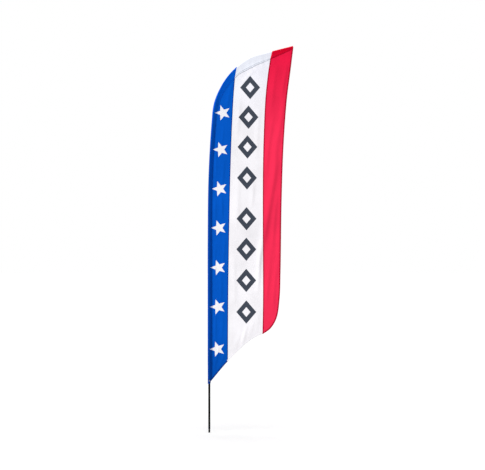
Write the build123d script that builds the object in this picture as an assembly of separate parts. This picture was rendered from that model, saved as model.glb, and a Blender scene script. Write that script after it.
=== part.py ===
"""Feather flag on a jointed pole that turns on a bearing foot.

The pole stands on +Z with its foot's lower end at the origin. The flag lies in the XZ plane
and flies towards +X. The top of the pole is a springy rod, bent over by the flag's sleeve.
"""

from build123d import *
from math import cos, radians, sin
import os

# ---- Pole ---------------------------------------------------------------------------------
POLE_RADIUS = 11.0              # sections 1 and 2
POLE_WALL = 1.5
UPPER_POLE_RADIUS = 9.0         # section 3
UPPER_POLE_WALL = 1.5
SECTION_LENGTH = 1080.0         # each of the three tubes
WHIP_RADIUS = 4.75
WHIP_CLAMPED_LENGTH = 55.0      # inside the ferrule
COLLAR_WALL = 1.0
COLLAR_LENGTH = 35.0
JOINT_FLANGE = 4.0              # height of the flanges on which a section stands
SPIGOT_REACH = 120.0            # how far a spigot goes into the section below
SPIGOT_HELD = 80.0              # how much of it is glued into its own section
SPIGOT_WALL = 2.0
PLUG_HELD = 60.0                # glued length of the plugs in section 3
RIVET_RADIUS = 1.6
RIVET_HEAD_RADIUS = 3.0
RIVET_HEAD_HEIGHT = 0.8
FIT_CLEARANCE = 0.05            # radial, between a plug and its tube

# ---- How the loaded pole bends, as its centreline's straight runs and tangent arcs ----------
LEAN_RADIUS = 12000.0
LEAN_ANGLE = 4.5                # degrees, over section 3
CROOK_RADIUS = 720.0
CROOK_ANGLE = 57.5
ELBOW_RADIUS = 300.0
ELBOW_ANGLE = 13.8
STRAIGHT_AT_PLUG = 10.0         # the tube stays straight this far past each plug
STRAIGHT_AT_FERRULE = 40.0      # and the rod this far past the ferrule
TIP_RUN = 385.0                 # last straight run of the rod

# ---- Foot and its rotator -------------------------------------------------------------------
FOOT_RADIUS = 10.0
FOOT_HEIGHT = 30.0
FOOT_EDGE_RADIUS = 3.0
STUD_HOLE_RADIUS = 4.25         # tapping size of an M10 thread
STUD_HOLE_DEPTH = 16.0
NECK_GAP = 2.0                  # between the foot and the turning housing
DUST_WASHER_THICKNESS = 1.5
PIN_RADIUS = 4.0                # the spindle in the bearings
BEARING_RADIUS = 8.0            # 8 x 16 x 5 mm ball bearings
BEARING_WIDTH = 5.0
BEARING_SPACING = 110.0         # between the two bearings' facing sides
INNER_RING_RADIUS = 5.3
OUTER_RING_BORE_RADIUS = 6.7
BALL_RADIUS = 1.19
BALL_PITCH_RADIUS = 6.0
BALL_COUNT = 9
BALL_CLEARANCE = 0.02
CAGE_WALL = 0.9
CAGE_WIDTH = 2.8
HOUSING_FLANGE = 3.0
HOUSING_BORE_RADIUS = 6.8
SPACER_WALL = 1.3
NUT_ACROSS_FLATS = 13.0
NUT_HEIGHT = 8.0
WASHER_RADIUS = 6.5
WASHER_THICKNESS = 1.2

# ---- Flag -----------------------------------------------------------------------------------
CLOTH_THICKNESS = 1.0
SLEEVE_WALL = 1.5
SLEEVE_EASE = 1.5               # radial, between the sleeve and the collars
SLEEVE_FLAP = 15.0              # flat cloth from the sleeve's round part to the seam
POCKET_EASE = 0.5               # radial, between the slim sleeve and the rod's cap
SLEEVE_TAPER_START = 160.0      # past the ferrule, along the rod
SLEEVE_TAPER_LENGTH = 160.0
TIP_POCKET_LENGTH = 230.0
TIP_CAP_WALL = 1.25
TIP_CAP_LENGTH = 22.0
TIP_CAP_END = 4.0               # thickness of the cap beyond the rod's end
POCKET_END_GAP = 2.0
POCKET_END_WALL = 3.0
HEM_WIDTH = 14.0
HEM_THICKNESS = 1.8
FLAG_BOTTOM = 508.0             # height of the sleeve's lower end
CUFF_HEIGHT = 48.0
CUFF_WALL = 2.8
HEM_MEETS_CUFF = 25.0           # height of that point above the sleeve's lower end
EYELET_BORE_RADIUS = 2.4
EYELET_BARREL_WALL = 0.8
EYELET_FLANGE_RADIUS = 5.2
EYELET_FLANGE_THICKNESS = 0.7
EYELET_HEIGHT = 32.0            # above the sleeve's lower end

# The free edge, as shares of the tip's reach from the pole and of the flag's height.
FLY_EDGE = [(0.966, 0.931), (0.924, 0.848), (0.883, 0.705), (0.861, 0.545),
            (0.848, 0.334), (0.836, 0.247), (0.799, 0.189), (0.725, 0.158)]
LOWER_CORNER = (0.637, 0.142)
LOWER_EDGE = [(0.573, 0.136), (0.453, 0.1165), (0.221, 0.0605)]

# ---- Heights that follow ----------------------------------------------------------------------
POLE_BORE = POLE_RADIUS - POLE_WALL
UPPER_POLE_BORE = UPPER_POLE_RADIUS - UPPER_POLE_WALL
SLEEVE_INNER_RADIUS = POLE_RADIUS + COLLAR_WALL + SLEEVE_EASE
SLEEVE_RADIUS = SLEEVE_INNER_RADIUS + SLEEVE_WALL
SEAM_OFFSET = SLEEVE_RADIUS + SLEEVE_FLAP
TIP_CAP_RADIUS = WHIP_RADIUS + TIP_CAP_WALL
POCKET_INNER_RADIUS = TIP_CAP_RADIUS + POCKET_EASE
POCKET_RADIUS = POCKET_INNER_RADIUS + SLEEVE_WALL
CUFF_RADIUS = SLEEVE_INNER_RADIUS + CUFF_WALL
CUFF_TOP = FLAG_BOTTOM + CUFF_HEIGHT
HOUSING_BOTTOM = FOOT_HEIGHT + NECK_GAP
SECTION_1_BOTTOM = HOUSING_BOTTOM + HOUSING_FLANGE
LOWER_BEARING = HOUSING_BOTTOM + HOUSING_FLANGE / 2
UPPER_BEARING = LOWER_BEARING + BEARING_WIDTH + BEARING_SPACING
HOUSING_TOP = UPPER_BEARING + BEARING_WIDTH + WASHER_THICKNESS
JOINT_1 = SECTION_1_BOTTOM + SECTION_LENGTH
JOINT_2 = JOINT_1 + SECTION_LENGTH
SECTION_3_BOTTOM = JOINT_2 + JOINT_FLANGE
SECTION_3_TOP = SECTION_3_BOTTOM + SECTION_LENGTH
FERRULE_TOP = SECTION_3_TOP + JOINT_FLANGE

LEAN_START = SECTION_3_BOTTOM + PLUG_HELD + STRAIGHT_AT_PLUG
LEAN_LENGTH = LEAN_RADIUS * radians(LEAN_ANGLE)
FERRULE_RUN = FERRULE_TOP + STRAIGHT_AT_FERRULE - LEAN_START - LEAN_LENGTH

# Each run of the centreline: its length and its turn in radians towards +X.
RUNS = [
    (LEAN_START, 0.0),
    (LEAN_LENGTH, radians(LEAN_ANGLE)),
    (FERRULE_RUN, 0.0),
    (CROOK_RADIUS * radians(CROOK_ANGLE), radians(CROOK_ANGLE)),
    (ELBOW_RADIUS * radians(ELBOW_ANGLE), radians(ELBOW_ANGLE)),
    (TIP_RUN, 0.0),
]
ROD_END = sum(length for length, turn in RUNS)
POCKET_END = ROD_END + TIP_CAP_END + POCKET_END_GAP + POCKET_END_WALL
TIP_POCKET_START = POCKET_END - TIP_POCKET_LENGTH
TAPER_START = FERRULE_TOP + SLEEVE_TAPER_START
TAPER_END = TAPER_START + SLEEVE_TAPER_LENGTH


# ---- The bent centreline ------------------------------------------------------------------------
def station(distance, offset=0.0):
    """Point at a distance along the centreline, moved sideways towards the fly, and the angle."""
    x, z, angle = 0.0, 0.0, 0.0
    left = distance
    for index, (length, turn) in enumerate(RUNS):
        is_last = index == len(RUNS) - 1
        step = left if is_last else min(left, length)
        if turn == 0.0:
            x += step * sin(angle)
            z += step * cos(angle)
        else:
            radius = length / turn
            new_angle = angle + step / radius
            x += radius * (cos(angle) - cos(new_angle))
            z += radius * (sin(new_angle) - sin(angle))
            angle = new_angle
        left -= step
        if left <= 0.0:
            break
    return Vector(x + offset * cos(angle), 0, z - offset * sin(angle)), angle


def spine(start, end, offset=0.0):
    """Edges that follow the centreline between two distances, at a sideways offset."""
    edges = []
    run_start = 0.0
    for index, (length, turn) in enumerate(RUNS):
        is_last = index == len(RUNS) - 1
        run_end = end if is_last else run_start + length
        first = max(start, run_start)
        last = min(end, run_end)
        if last - first > 0.001:
            first_point = station(first, offset)[0]
            last_point = station(last, offset)[0]
            if turn == 0.0:
                edges.append(Edge.make_line(first_point, last_point))
            else:
                middle_point = station((first + last) / 2, offset)[0]
                edges.append(Edge.make_three_point_arc(first_point, middle_point, last_point))
        run_start += length
    return edges


def across(distance):
    """Plane square to the centreline, with the origin on it."""
    point, angle = station(distance)
    return Plane(origin=point, x_dir=(cos(angle), 0, -sin(angle)), z_dir=(sin(angle), 0, cos(angle)))


def rod(radius, start, end):
    """Solid round bar that follows the centreline."""
    return sweep(across(start) * Circle(radius), path=Wire(spine(start, end)))


def cone(first_radius, last_radius, start, end):
    """Round bar that follows the centreline and changes its radius on the way."""
    first = across(start) * Circle(first_radius)
    last = across(end) * Circle(last_radius)
    return sweep([first, last], path=Wire(spine(start, end)), multisection=True)


def plate(face, thickness):
    """Flat area of the XZ plane, as thick to the front as to the back."""
    return extrude(face, amount=thickness / 2, dir=(0, 1, 0), both=True)


def ring(outer_radius, inner_radius, bottom, top):
    """Upright ring round the pole's axis."""
    outer = Cylinder(outer_radius, top - bottom, align=(Align.CENTER, Align.CENTER, Align.MIN))
    inner = Cylinder(inner_radius, top - bottom, align=(Align.CENTER, Align.CENTER, Align.MIN))
    return Pos(0, 0, bottom) * (outer - inner)


def bar(radius, bottom, top):
    """Upright round bar on the pole's axis."""
    return Pos(0, 0, bottom) * Cylinder(radius, top - bottom, align=(Align.CENTER, Align.CENTER, Align.MIN))


def rivets(height, inner_radius, outer_radius):
    """Two rivets, to the front and the back, from a plug's bore to a tube's outside."""
    pieces = []
    tube = bar(outer_radius, height - 2 * RIVET_HEAD_RADIUS, height + 2 * RIVET_HEAD_RADIUS)
    for side in (90, -90):
        place = Pos(0, 0, height) * Rot(side, 0, 0)
        shank = (place * bar(RIVET_RADIUS, inner_radius, 2 * outer_radius)) & tube
        head = place * bar(RIVET_HEAD_RADIUS, 0, outer_radius + RIVET_HEAD_HEIGHT) - tube
        pieces.append(shank + head)
    return pieces


def rivet_holes(height, radius):
    """Cutter for both rivets of one plug."""
    return Pos(0, 0, height) * Rot(90, 0, 0) * Cylinder(RIVET_RADIUS, 2 * radius + 10)


# ---- Foot ---------------------------------------------------------------------------------------
def foot_spindle():
    foot = bar(FOOT_RADIUS, 0, FOOT_HEIGHT)
    foot = fillet(foot.edges().filter_by(GeomType.CIRCLE), FOOT_EDGE_RADIUS)
    shoulder = bar(INNER_RING_RADIUS, FOOT_HEIGHT, LOWER_BEARING)
    pin_top = HOUSING_TOP + NUT_HEIGHT + PIN_RADIUS
    pin = bar(PIN_RADIUS, LOWER_BEARING, pin_top)
    pin = chamfer(pin.edges().group_by(Axis.Z)[-1], PIN_RADIUS / 4)
    return foot + shoulder + pin - bar(STUD_HOLE_RADIUS, 0, STUD_HOLE_DEPTH)


def dust_washer():
    return ring(FOOT_RADIUS - FOOT_EDGE_RADIUS, INNER_RING_RADIUS, FOOT_HEIGHT,
                FOOT_HEIGHT + DUST_WASHER_THICKNESS)


def raceway(bottom):
    """Ring-shaped space that the balls run in."""
    middle = bottom + BEARING_WIDTH / 2
    return Pos(0, 0, middle) * Torus(BALL_PITCH_RADIUS, BALL_RADIUS + BALL_CLEARANCE)


def bearing_inner_rings():
    pieces = []
    for bottom in (LOWER_BEARING, UPPER_BEARING):
        blank = ring(INNER_RING_RADIUS, PIN_RADIUS, bottom, bottom + BEARING_WIDTH)
        pieces.append(blank - raceway(bottom))
    return pieces


def bearing_outer_rings():
    pieces = []
    for bottom in (LOWER_BEARING, UPPER_BEARING):
        blank = ring(BEARING_RADIUS, OUTER_RING_BORE_RADIUS, bottom, bottom + BEARING_WIDTH)
        pieces.append(blank - raceway(bottom))
    return pieces


def ball_places(bottom):
    middle = bottom + BEARING_WIDTH / 2
    turn = 360 / BALL_COUNT
    return [Pos(0, 0, middle) * Rot(0, 0, i * turn) * Pos(BALL_PITCH_RADIUS, 0, 0)
            for i in range(BALL_COUNT)]


def bearing_balls():
    return [place * Sphere(BALL_RADIUS)
            for bottom in (LOWER_BEARING, UPPER_BEARING) for place in ball_places(bottom)]


def bearing_cages():
    pieces = []
    for bottom in (LOWER_BEARING, UPPER_BEARING):
        middle = bottom + BEARING_WIDTH / 2
        cage = ring(BALL_PITCH_RADIUS + CAGE_WALL / 2, BALL_PITCH_RADIUS - CAGE_WALL / 2,
                    middle - CAGE_WIDTH / 2, middle + CAGE_WIDTH / 2)
        for place in ball_places(bottom):
            cage -= place * Rot(0, 90, 0) * Cylinder(BALL_RADIUS + BALL_CLEARANCE, 4 * CAGE_WALL)
        pieces.append(cage)
    return pieces


def inner_spacer():
    return ring(PIN_RADIUS + SPACER_WALL, PIN_RADIUS, LOWER_BEARING + BEARING_WIDTH, UPPER_BEARING)


def spindle_washer():
    bottom = UPPER_BEARING + BEARING_WIDTH
    return ring(WASHER_RADIUS, PIN_RADIUS, bottom, bottom + WASHER_THICKNESS)


def spindle_nut():
    hexagon = RegularPolygon(NUT_ACROSS_FLATS / 2, 6, major_radius=False)
    blank = Pos(0, 0, HOUSING_TOP) * extrude(hexagon, NUT_HEIGHT)
    return blank - bar(PIN_RADIUS, HOUSING_TOP, HOUSING_TOP + NUT_HEIGHT)


def bearing_housing():
    housing = bar(POLE_RADIUS, HOUSING_BOTTOM, SECTION_1_BOTTOM)
    housing += bar(POLE_BORE - FIT_CLEARANCE, SECTION_1_BOTTOM, HOUSING_TOP)
    housing -= bar(HOUSING_BORE_RADIUS, HOUSING_BOTTOM, HOUSING_TOP)
    housing -= bar(BEARING_RADIUS, HOUSING_BOTTOM, LOWER_BEARING + BEARING_WIDTH)
    housing -= bar(BEARING_RADIUS, UPPER_BEARING, HOUSING_TOP)
    return housing - rivet_holes(HOUSING_RIVETS, POLE_RADIUS)


# ---- Pole sections ------------------------------------------------------------------------------
HOUSING_RIVETS = (LOWER_BEARING + UPPER_BEARING) / 2
SPIGOT_RIVETS = JOINT_1 + SPIGOT_HELD / 2
PLUG_RIVETS = SECTION_3_BOTTOM + PLUG_HELD / 2


def section_1_tube():
    return ring(POLE_RADIUS, POLE_BORE, SECTION_1_BOTTOM, JOINT_1) - rivet_holes(HOUSING_RIVETS, POLE_RADIUS)


def section_2_tube():
    return ring(POLE_RADIUS, POLE_BORE, JOINT_1, JOINT_2) - rivet_holes(SPIGOT_RIVETS, POLE_RADIUS)


def section_3_tube():
    tube = rod(UPPER_POLE_RADIUS, SECTION_3_BOTTOM, SECTION_3_TOP)
    tube -= rod(UPPER_POLE_BORE, SECTION_3_BOTTOM, SECTION_3_TOP)
    return tube - rivet_holes(PLUG_RIVETS, UPPER_POLE_RADIUS)


def collar(joint):
    """Band that keeps the mouth of a tube from splitting."""
    blank = ring(POLE_RADIUS + COLLAR_WALL, POLE_RADIUS, joint - COLLAR_LENGTH, joint)
    outer_edges = blank.edges().filter_by(GeomType.CIRCLE).sort_by(SortBy.RADIUS)[-2:]
    return chamfer(outer_edges, COLLAR_WALL / 3)


def plug_chamfer(plug):
    """Lead-in at the lower end of a plug."""
    return chamfer(plug.edges().group_by(Axis.Z)[0], SPIGOT_WALL / 2)


def section_2_spigot():
    radius = POLE_BORE - FIT_CLEARANCE
    plug = plug_chamfer(bar(radius, JOINT_1 - SPIGOT_REACH, JOINT_1 + SPIGOT_HELD))
    plug -= bar(radius - SPIGOT_WALL, JOINT_1 - SPIGOT_REACH, JOINT_1 + SPIGOT_HELD)
    return plug - rivet_holes(SPIGOT_RIVETS, POLE_RADIUS)


def section_3_spigot():
    lower_radius = POLE_BORE - FIT_CLEARANCE
    upper_radius = UPPER_POLE_BORE - FIT_CLEARANCE
    plug_top = SECTION_3_BOTTOM + PLUG_HELD
    plug = plug_chamfer(bar(lower_radius, JOINT_2 - SPIGOT_REACH, JOINT_2))
    plug += bar(POLE_RADIUS, JOINT_2, SECTION_3_BOTTOM)
    plug += bar(upper_radius, SECTION_3_BOTTOM, plug_top)
    plug -= bar(upper_radius - SPIGOT_WALL, JOINT_2 - SPIGOT_REACH, plug_top)
    return plug - rivet_holes(PLUG_RIVETS, UPPER_POLE_RADIUS)


def whip_ferrule():
    plug = rod(UPPER_POLE_BORE - FIT_CLEARANCE, SECTION_3_TOP - PLUG_HELD, SECTION_3_TOP)
    plug += rod(UPPER_POLE_RADIUS, SECTION_3_TOP, FERRULE_TOP)
    return plug - rod(WHIP_RADIUS + FIT_CLEARANCE, SECTION_3_TOP - PLUG_HELD, FERRULE_TOP)


def whip_rod():
    return rod(WHIP_RADIUS, FERRULE_TOP - WHIP_CLAMPED_LENGTH, ROD_END)


def whip_tip_cap():
    start = ROD_END + TIP_CAP_END - TIP_CAP_LENGTH
    cap = rod(TIP_CAP_RADIUS, start, ROD_END + TIP_CAP_END)
    end_edge = cap.edges().filter_by(GeomType.CIRCLE).sort_by(Axis.X)[-1]
    return fillet(end_edge, TIP_CAP_END / 2) - rod(WHIP_RADIUS, start, ROD_END)


# ---- Flag outline -------------------------------------------------------------------------------
FLAG_END = station(POCKET_END, POCKET_RADIUS)[0]
HEM_END = Vector(SLEEVE_RADIUS, 0, FLAG_BOTTOM + HEM_MEETS_CUFF)


def edge_point(shares):
    """Point of the free edge from its shares of the reach and of the height."""
    reach, height = shares
    return Vector(reach * FLAG_END.X, 0, HEM_END.Z + height * (FLAG_END.Z - HEM_END.Z))


def free_edges():
    """The fly edge, down to the lower corner, and the lower edge, back to the sleeve."""
    corner = edge_point(LOWER_CORNER)
    fly = Edge.make_spline([FLAG_END] + [edge_point(shares) for shares in FLY_EDGE] + [corner])
    lower_points = [corner] + [edge_point(shares) for shares in LOWER_EDGE] + [HEM_END]
    lower = Edge.make_spline(lower_points, tangents=[fly % 1, HEM_END - lower_points[-2]])
    return fly, lower


def inside_of(edge, distance, points=16):
    """Curve parallel to a free edge, on the flag's side."""
    inner = []
    for i in range(points + 1):
        tangent = edge % (i / points)
        inner.append(edge @ (i / points) + Vector(tangent.Z, 0, -tangent.X) * distance)
    return Edge.make_spline(inner)


def hem_area(edge):
    inner = inside_of(edge, HEM_WIDTH)
    first_side = Edge.make_line(edge @ 0, inner @ 0)
    last_side = Edge.make_line(edge @ 1, inner @ 1)
    return Face(Wire([edge, last_side, inner, first_side]))


def flag_area():
    """The whole flag, from the pole's centreline to the free edges."""
    fly, lower = free_edges()
    foot_point = Vector(0, 0, HEM_END.Z)
    end_side = Edge.make_line(station(POCKET_END)[0], FLAG_END)
    foot_side = Edge.make_line(HEM_END, foot_point)
    return Face(Wire(spine(HEM_END.Z, POCKET_END) + [end_side, fly, lower, foot_side]))


def strip_area(start, end, width):
    """Strip between the centreline and an offset of it."""
    first_side = Edge.make_line(station(start)[0], station(start, width)[0])
    last_side = Edge.make_line(station(end)[0], station(end, width)[0])
    return Face(Wire(spine(start, end) + spine(start, end, width) + [first_side, last_side]))


# ---- Flag pieces --------------------------------------------------------------------------------
def sleeve_outside(start, end):
    """Outer shape of the sleeve, wide round the tubes and slim round the rod."""
    if start >= TAPER_END:
        return rod(POCKET_RADIUS, start, end)
    wide = rod(SLEEVE_RADIUS, start, TAPER_START)
    taper = cone(SLEEVE_RADIUS, POCKET_RADIUS, TAPER_START, TAPER_END)
    return wide + taper + rod(POCKET_RADIUS, TAPER_END, end)


def sleeve_inside(start, end):
    """The room for the pole in the sleeve."""
    if start >= TAPER_END:
        return rod(POCKET_INNER_RADIUS, start, end)
    wide = rod(SLEEVE_INNER_RADIUS, start, TAPER_START)
    taper = cone(SLEEVE_INNER_RADIUS, POCKET_INNER_RADIUS, TAPER_START, TAPER_END)
    return wide + taper + rod(POCKET_INNER_RADIUS, TAPER_END, end)


def flag_pieces():
    """The panel, its two hems, the sleeve and the pocket at the tip."""
    fly, lower = free_edges()
    fly_band = hem_area(fly)
    lower_band = hem_area(lower)
    field = flag_area() - fly_band - lower_band
    seam_strip = strip_area(HEM_END.Z, POCKET_END, SEAM_OFFSET)
    sleeve_strip = strip_area(HEM_END.Z, TIP_POCKET_START, SEAM_OFFSET)
    pocket_strip = strip_area(TIP_POCKET_START, POCKET_END, SEAM_OFFSET)

    cuff_strip = strip_area(HEM_END.Z, CUFF_TOP, CUFF_RADIUS)
    round_strip = strip_area(HEM_END.Z, POCKET_END, SLEEVE_RADIUS)
    slim_strip = strip_area(TIP_POCKET_START, POCKET_END, POCKET_RADIUS)

    panel = plate(field - seam_strip, CLOTH_THICKNESS)
    sleeve = plate((field & sleeve_strip) - cuff_strip, SLEEVE_WALL)
    sleeve += sleeve_outside(CUFF_TOP, TIP_POCKET_START)
    sleeve -= sleeve_inside(CUFF_TOP, TIP_POCKET_START)
    pocket = plate(field & pocket_strip, SLEEVE_WALL)
    pocket += sleeve_outside(TIP_POCKET_START, POCKET_END)
    pocket -= sleeve_inside(TIP_POCKET_START, POCKET_END - POCKET_END_WALL)
    fly_hem = plate(fly_band - slim_strip, HEM_THICKNESS)
    lower_hem = plate(lower_band - cuff_strip - round_strip, HEM_THICKNESS)
    return {
        "flag_panel": panel,
        "pole_sleeve": sleeve,
        "tip_pocket": pocket,
        "fly_hem": fly_hem,
        "lower_hem": lower_hem,
    }


def eyelet_places():
    height = FLAG_BOTTOM + EYELET_HEIGHT
    return [Pos(0, 0, height) * Rot(side, 0, 0) for side in (90, -90)]


def sleeve_cuff():
    cuff = ring(CUFF_RADIUS, SLEEVE_INNER_RADIUS, FLAG_BOTTOM, CUFF_TOP)
    for place in eyelet_places():
        cuff -= place * bar(EYELET_BORE_RADIUS + EYELET_BARREL_WALL, 0, 2 * CUFF_RADIUS)
    return cuff


def cuff_eyelets():
    """Pressed eyelets for a tie, one to the front and one to the back, curved to the cuff."""
    barrel_radius = EYELET_BORE_RADIUS + EYELET_BARREL_WALL
    skin = ring(CUFF_RADIUS + EYELET_FLANGE_THICKNESS, CUFF_RADIUS, FLAG_BOTTOM, CUFF_TOP)
    wall = ring(CUFF_RADIUS, SLEEVE_INNER_RADIUS, FLAG_BOTTOM, CUFF_TOP)
    pieces = []
    for place in eyelet_places():
        flange = (place * bar(EYELET_FLANGE_RADIUS, 0, 2 * CUFF_RADIUS)) & skin
        barrel = (place * bar(barrel_radius, 0, 2 * CUFF_RADIUS)) & wall
        bore = place * bar(EYELET_BORE_RADIUS, 0, 2 * CUFF_RADIUS)
        pieces.append(flange + barrel - bore)
    return pieces


# ---- Write every piece --------------------------------------------------------------------------
def main():
    os.makedirs("parts", exist_ok=True)
    nodes = {
        "foot_spindle": foot_spindle(),
        "dust_washer": dust_washer(),
        "bearing_inner_rings": bearing_inner_rings(),
        "inner_spacer": inner_spacer(),
        "spindle_washer": spindle_washer(),
        "spindle_nut": spindle_nut(),
        "bearing_balls": bearing_balls(),
        "bearing_cages": bearing_cages(),
        "bearing_outer_rings": bearing_outer_rings(),
        "bearing_housing": bearing_housing(),
        "housing_rivets": rivets(HOUSING_RIVETS, HOUSING_BORE_RADIUS, POLE_RADIUS),
        "section_1_tube": section_1_tube(),
        "section_1_collar": collar(JOINT_1),
        "section_2_spigot": section_2_spigot(),
        "section_2_rivets": rivets(SPIGOT_RIVETS, POLE_BORE - FIT_CLEARANCE - SPIGOT_WALL, POLE_RADIUS),
        "section_2_tube": section_2_tube(),
        "section_2_collar": collar(JOINT_2),
        "section_3_spigot": section_3_spigot(),
        "section_3_rivets": rivets(PLUG_RIVETS, UPPER_POLE_BORE - FIT_CLEARANCE - SPIGOT_WALL,
                                   UPPER_POLE_RADIUS),
        "section_3_tube": section_3_tube(),
        "whip_ferrule": whip_ferrule(),
        "whip_rod": whip_rod(),
        "whip_tip_cap": whip_tip_cap(),
        "sleeve_cuff": sleeve_cuff(),
        "cuff_eyelets": cuff_eyelets(),
    }
    nodes.update(flag_pieces())
    for name, shape in nodes.items():
        if isinstance(shape, list):
            shape = Compound(children=[piece.solid() for piece in shape])
        export_step(shape, f"parts/{name}.step")


main()
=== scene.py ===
import math

import bpy
import numpy as np
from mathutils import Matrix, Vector, geometry


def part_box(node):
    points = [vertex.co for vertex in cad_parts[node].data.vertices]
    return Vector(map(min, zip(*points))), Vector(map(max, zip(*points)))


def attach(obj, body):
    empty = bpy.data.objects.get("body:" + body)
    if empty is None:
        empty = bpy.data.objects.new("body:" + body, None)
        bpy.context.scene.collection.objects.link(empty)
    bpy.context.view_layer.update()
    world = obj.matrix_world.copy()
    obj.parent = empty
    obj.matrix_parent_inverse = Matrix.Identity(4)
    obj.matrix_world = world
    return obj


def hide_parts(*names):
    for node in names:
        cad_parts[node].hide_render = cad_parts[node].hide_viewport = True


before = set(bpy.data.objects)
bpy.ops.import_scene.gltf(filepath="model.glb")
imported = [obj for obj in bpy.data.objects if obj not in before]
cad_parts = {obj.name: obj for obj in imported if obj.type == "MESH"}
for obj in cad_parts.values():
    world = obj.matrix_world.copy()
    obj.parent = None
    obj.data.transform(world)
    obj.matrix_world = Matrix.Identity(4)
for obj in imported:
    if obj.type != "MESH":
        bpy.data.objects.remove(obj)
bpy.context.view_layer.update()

bpy.ops.object.select_all(action="DESELECT")


# ---- Camera, floor and light -----------------------------------------
# The flag is seen square on from far away, as in a catalogue, on a plain white floor. White walls
# and a lamp overhead light it evenly. A soft lamp from the upper left, and a weaker one behind,
# draw its folds; they don't reach the floor.
view_width = 5.059
view_centre = Vector((0.3463, 0.0, 2.060))
view_limit = 200.0
lens = 120.0
sensor = 36.0
floor_radius = 70.0
floor_white = (0.97, 0.97, 0.97, 1.0)
wall_white = (1.0, 1.0, 1.0, 1.0)
wall_light = 0.62
lamp_distance = 8.0

camera_data = bpy.data.cameras.new("camera")
camera_data.lens = lens
camera_data.sensor_width = sensor
camera_data.clip_end = view_limit
camera = bpy.data.objects.new("camera", camera_data)
camera.location = view_centre - Vector((0.0, lens / sensor * view_width, 0.0))
camera.rotation_euler = (math.radians(90.0), 0.0, 0.0)
bpy.context.collection.objects.link(camera)
bpy.context.scene.camera = camera
bpy.context.scene.view_settings.view_transform = "Standard"


def set_sockets(node, values):
    """Sets a node's inputs, given by name or number."""
    for socket, value in values.items():
        node.inputs[socket].default_value = value


def new_material(name, sockets):
    """New material, with some inputs of its shader set."""
    material = bpy.data.materials.new(name)
    material.use_nodes = True
    set_sockets(shader_of(material), sockets)
    return material


def shader_of(material):
    """The one node that every material's look ends in."""
    return material.node_tree.nodes["Principled BSDF"]


def add_node(owner, kind, sockets=None, **settings):
    """New shader node in a material or world, with its inputs and its own settings."""
    node = owner.node_tree.nodes.new("ShaderNode" + kind)
    for setting, value in settings.items():
        setattr(node, setting, value)
    set_sockets(node, sockets or {})
    return node


def join(owner, *rows):
    """Links one node's output to another's input, row by row."""
    for source, output, target, socket in rows:
        owner.node_tree.links.new(source.outputs[output], target.inputs[socket])


bpy.ops.mesh.primitive_circle_add(vertices=96, radius=floor_radius, fill_type="NGON")
floor = bpy.context.object
floor.name = "floor"
floor.data.materials.append(new_material("floor_paint", {
    "Base Color": floor_white, "Roughness": 1.0, "Specular IOR Level": 0.0}))

walls = bpy.data.worlds.new("white_walls")
walls.use_nodes = True
seen_walls = walls.node_tree.nodes["Background"]
set_sockets(seen_walls, {"Color": wall_white, "Strength": 1.0})
dim_walls = add_node(walls, "Background", {"Color": wall_white, "Strength": wall_light})
wall_rays = add_node(walls, "LightPath")
wall_mix = add_node(walls, "MixShader")
join(walls,
     (wall_rays, "Is Camera Ray", wall_mix, "Fac"),
     (dim_walls, "Background", wall_mix, 1),
     (seen_walls, "Background", wall_mix, 2),
     (wall_mix, "Shader", walls.node_tree.nodes["World Output"], "Surface"))
bpy.context.scene.world = walls

all_but_floor = bpy.data.collections.new("all_but_floor")
all_but_floor.objects.link(floor)
all_but_floor.collection_objects[0].light_linking.link_state = "EXCLUDE"


def far_lamp(name, side_angle, height_angle, spread_angle, power, spares_floor):
    """Soft lamp far away, placed by its angles from the camera's side and above the floor."""
    lamp_data = bpy.data.lights.new(name, "SUN")
    lamp_data.angle = math.radians(spread_angle)
    lamp_data.energy = power
    lamp = bpy.data.objects.new(name, lamp_data)
    side, height = math.radians(side_angle), math.radians(height_angle)
    towards = Vector((math.sin(side) * math.cos(height), -math.cos(side) * math.cos(height),
                      math.sin(height)))
    lamp.location = view_centre + lamp_distance * towards
    lamp.rotation_euler = towards.to_track_quat("Z", "Y").to_euler()
    bpy.context.collection.objects.link(lamp)
    if spares_floor:
        lamp.light_linking.receiver_collection = all_but_floor


far_lamp("overhead_lamp", 0.0, 90.0, 60.0, 1.5, False)
far_lamp("key_lamp", -62.0, 24.0, 9.0, 2.9, True)
far_lamp("rear_lamp", -118.0, 24.0, 9.0, 2.0, True)


# ---- Line of the bent pole -------------------------------------------
# Everything of the flag follows the pole's centreline, which is straight up to the third section,
# leans a little along it, and is bent over by the sleeve above. It is a chain of straight runs and
# arcs, given by their length and the angle that they turn through, from the foot upwards.
joint_flange = 0.004
ferrule_height = 1.084
straight_at_plug = 0.070
straight_at_ferrule = 0.040
end_allowance = 0.009
section_3_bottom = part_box("section_2_tube")[1][2] + joint_flange
ferrule_top = section_3_bottom + ferrule_height
lean_start = section_3_bottom + straight_at_plug
lean_turn = math.radians(4.5)
lean_radius = 12.0
lean_length = lean_radius * lean_turn
crook_radius = 0.720
crook_turn = math.radians(57.5)
elbow_radius = 0.300
elbow_turn = math.radians(13.8)
tip_run = 0.385
pole_runs = [
    (lean_start, 0.0),
    (lean_length, lean_turn),
    (ferrule_top + straight_at_ferrule - lean_start - lean_length, 0.0),
    (crook_radius * crook_turn, crook_turn),
    (elbow_radius * elbow_turn, elbow_turn),
    (tip_run, 0.0),
]
rod_end = sum(length for length, turn in pole_runs)
pocket_end = rod_end + end_allowance


def moved_along(x, z, angle, length, turn):
    """Place and angle after a length that turns through an angle."""
    if turn == 0.0:
        return x + length * math.sin(angle), z + length * math.cos(angle), angle
    radius = length / turn
    return (x + radius * (math.cos(angle) - math.cos(angle + turn)),
            z + radius * (math.sin(angle + turn) - math.sin(angle)), angle + turn)


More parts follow.
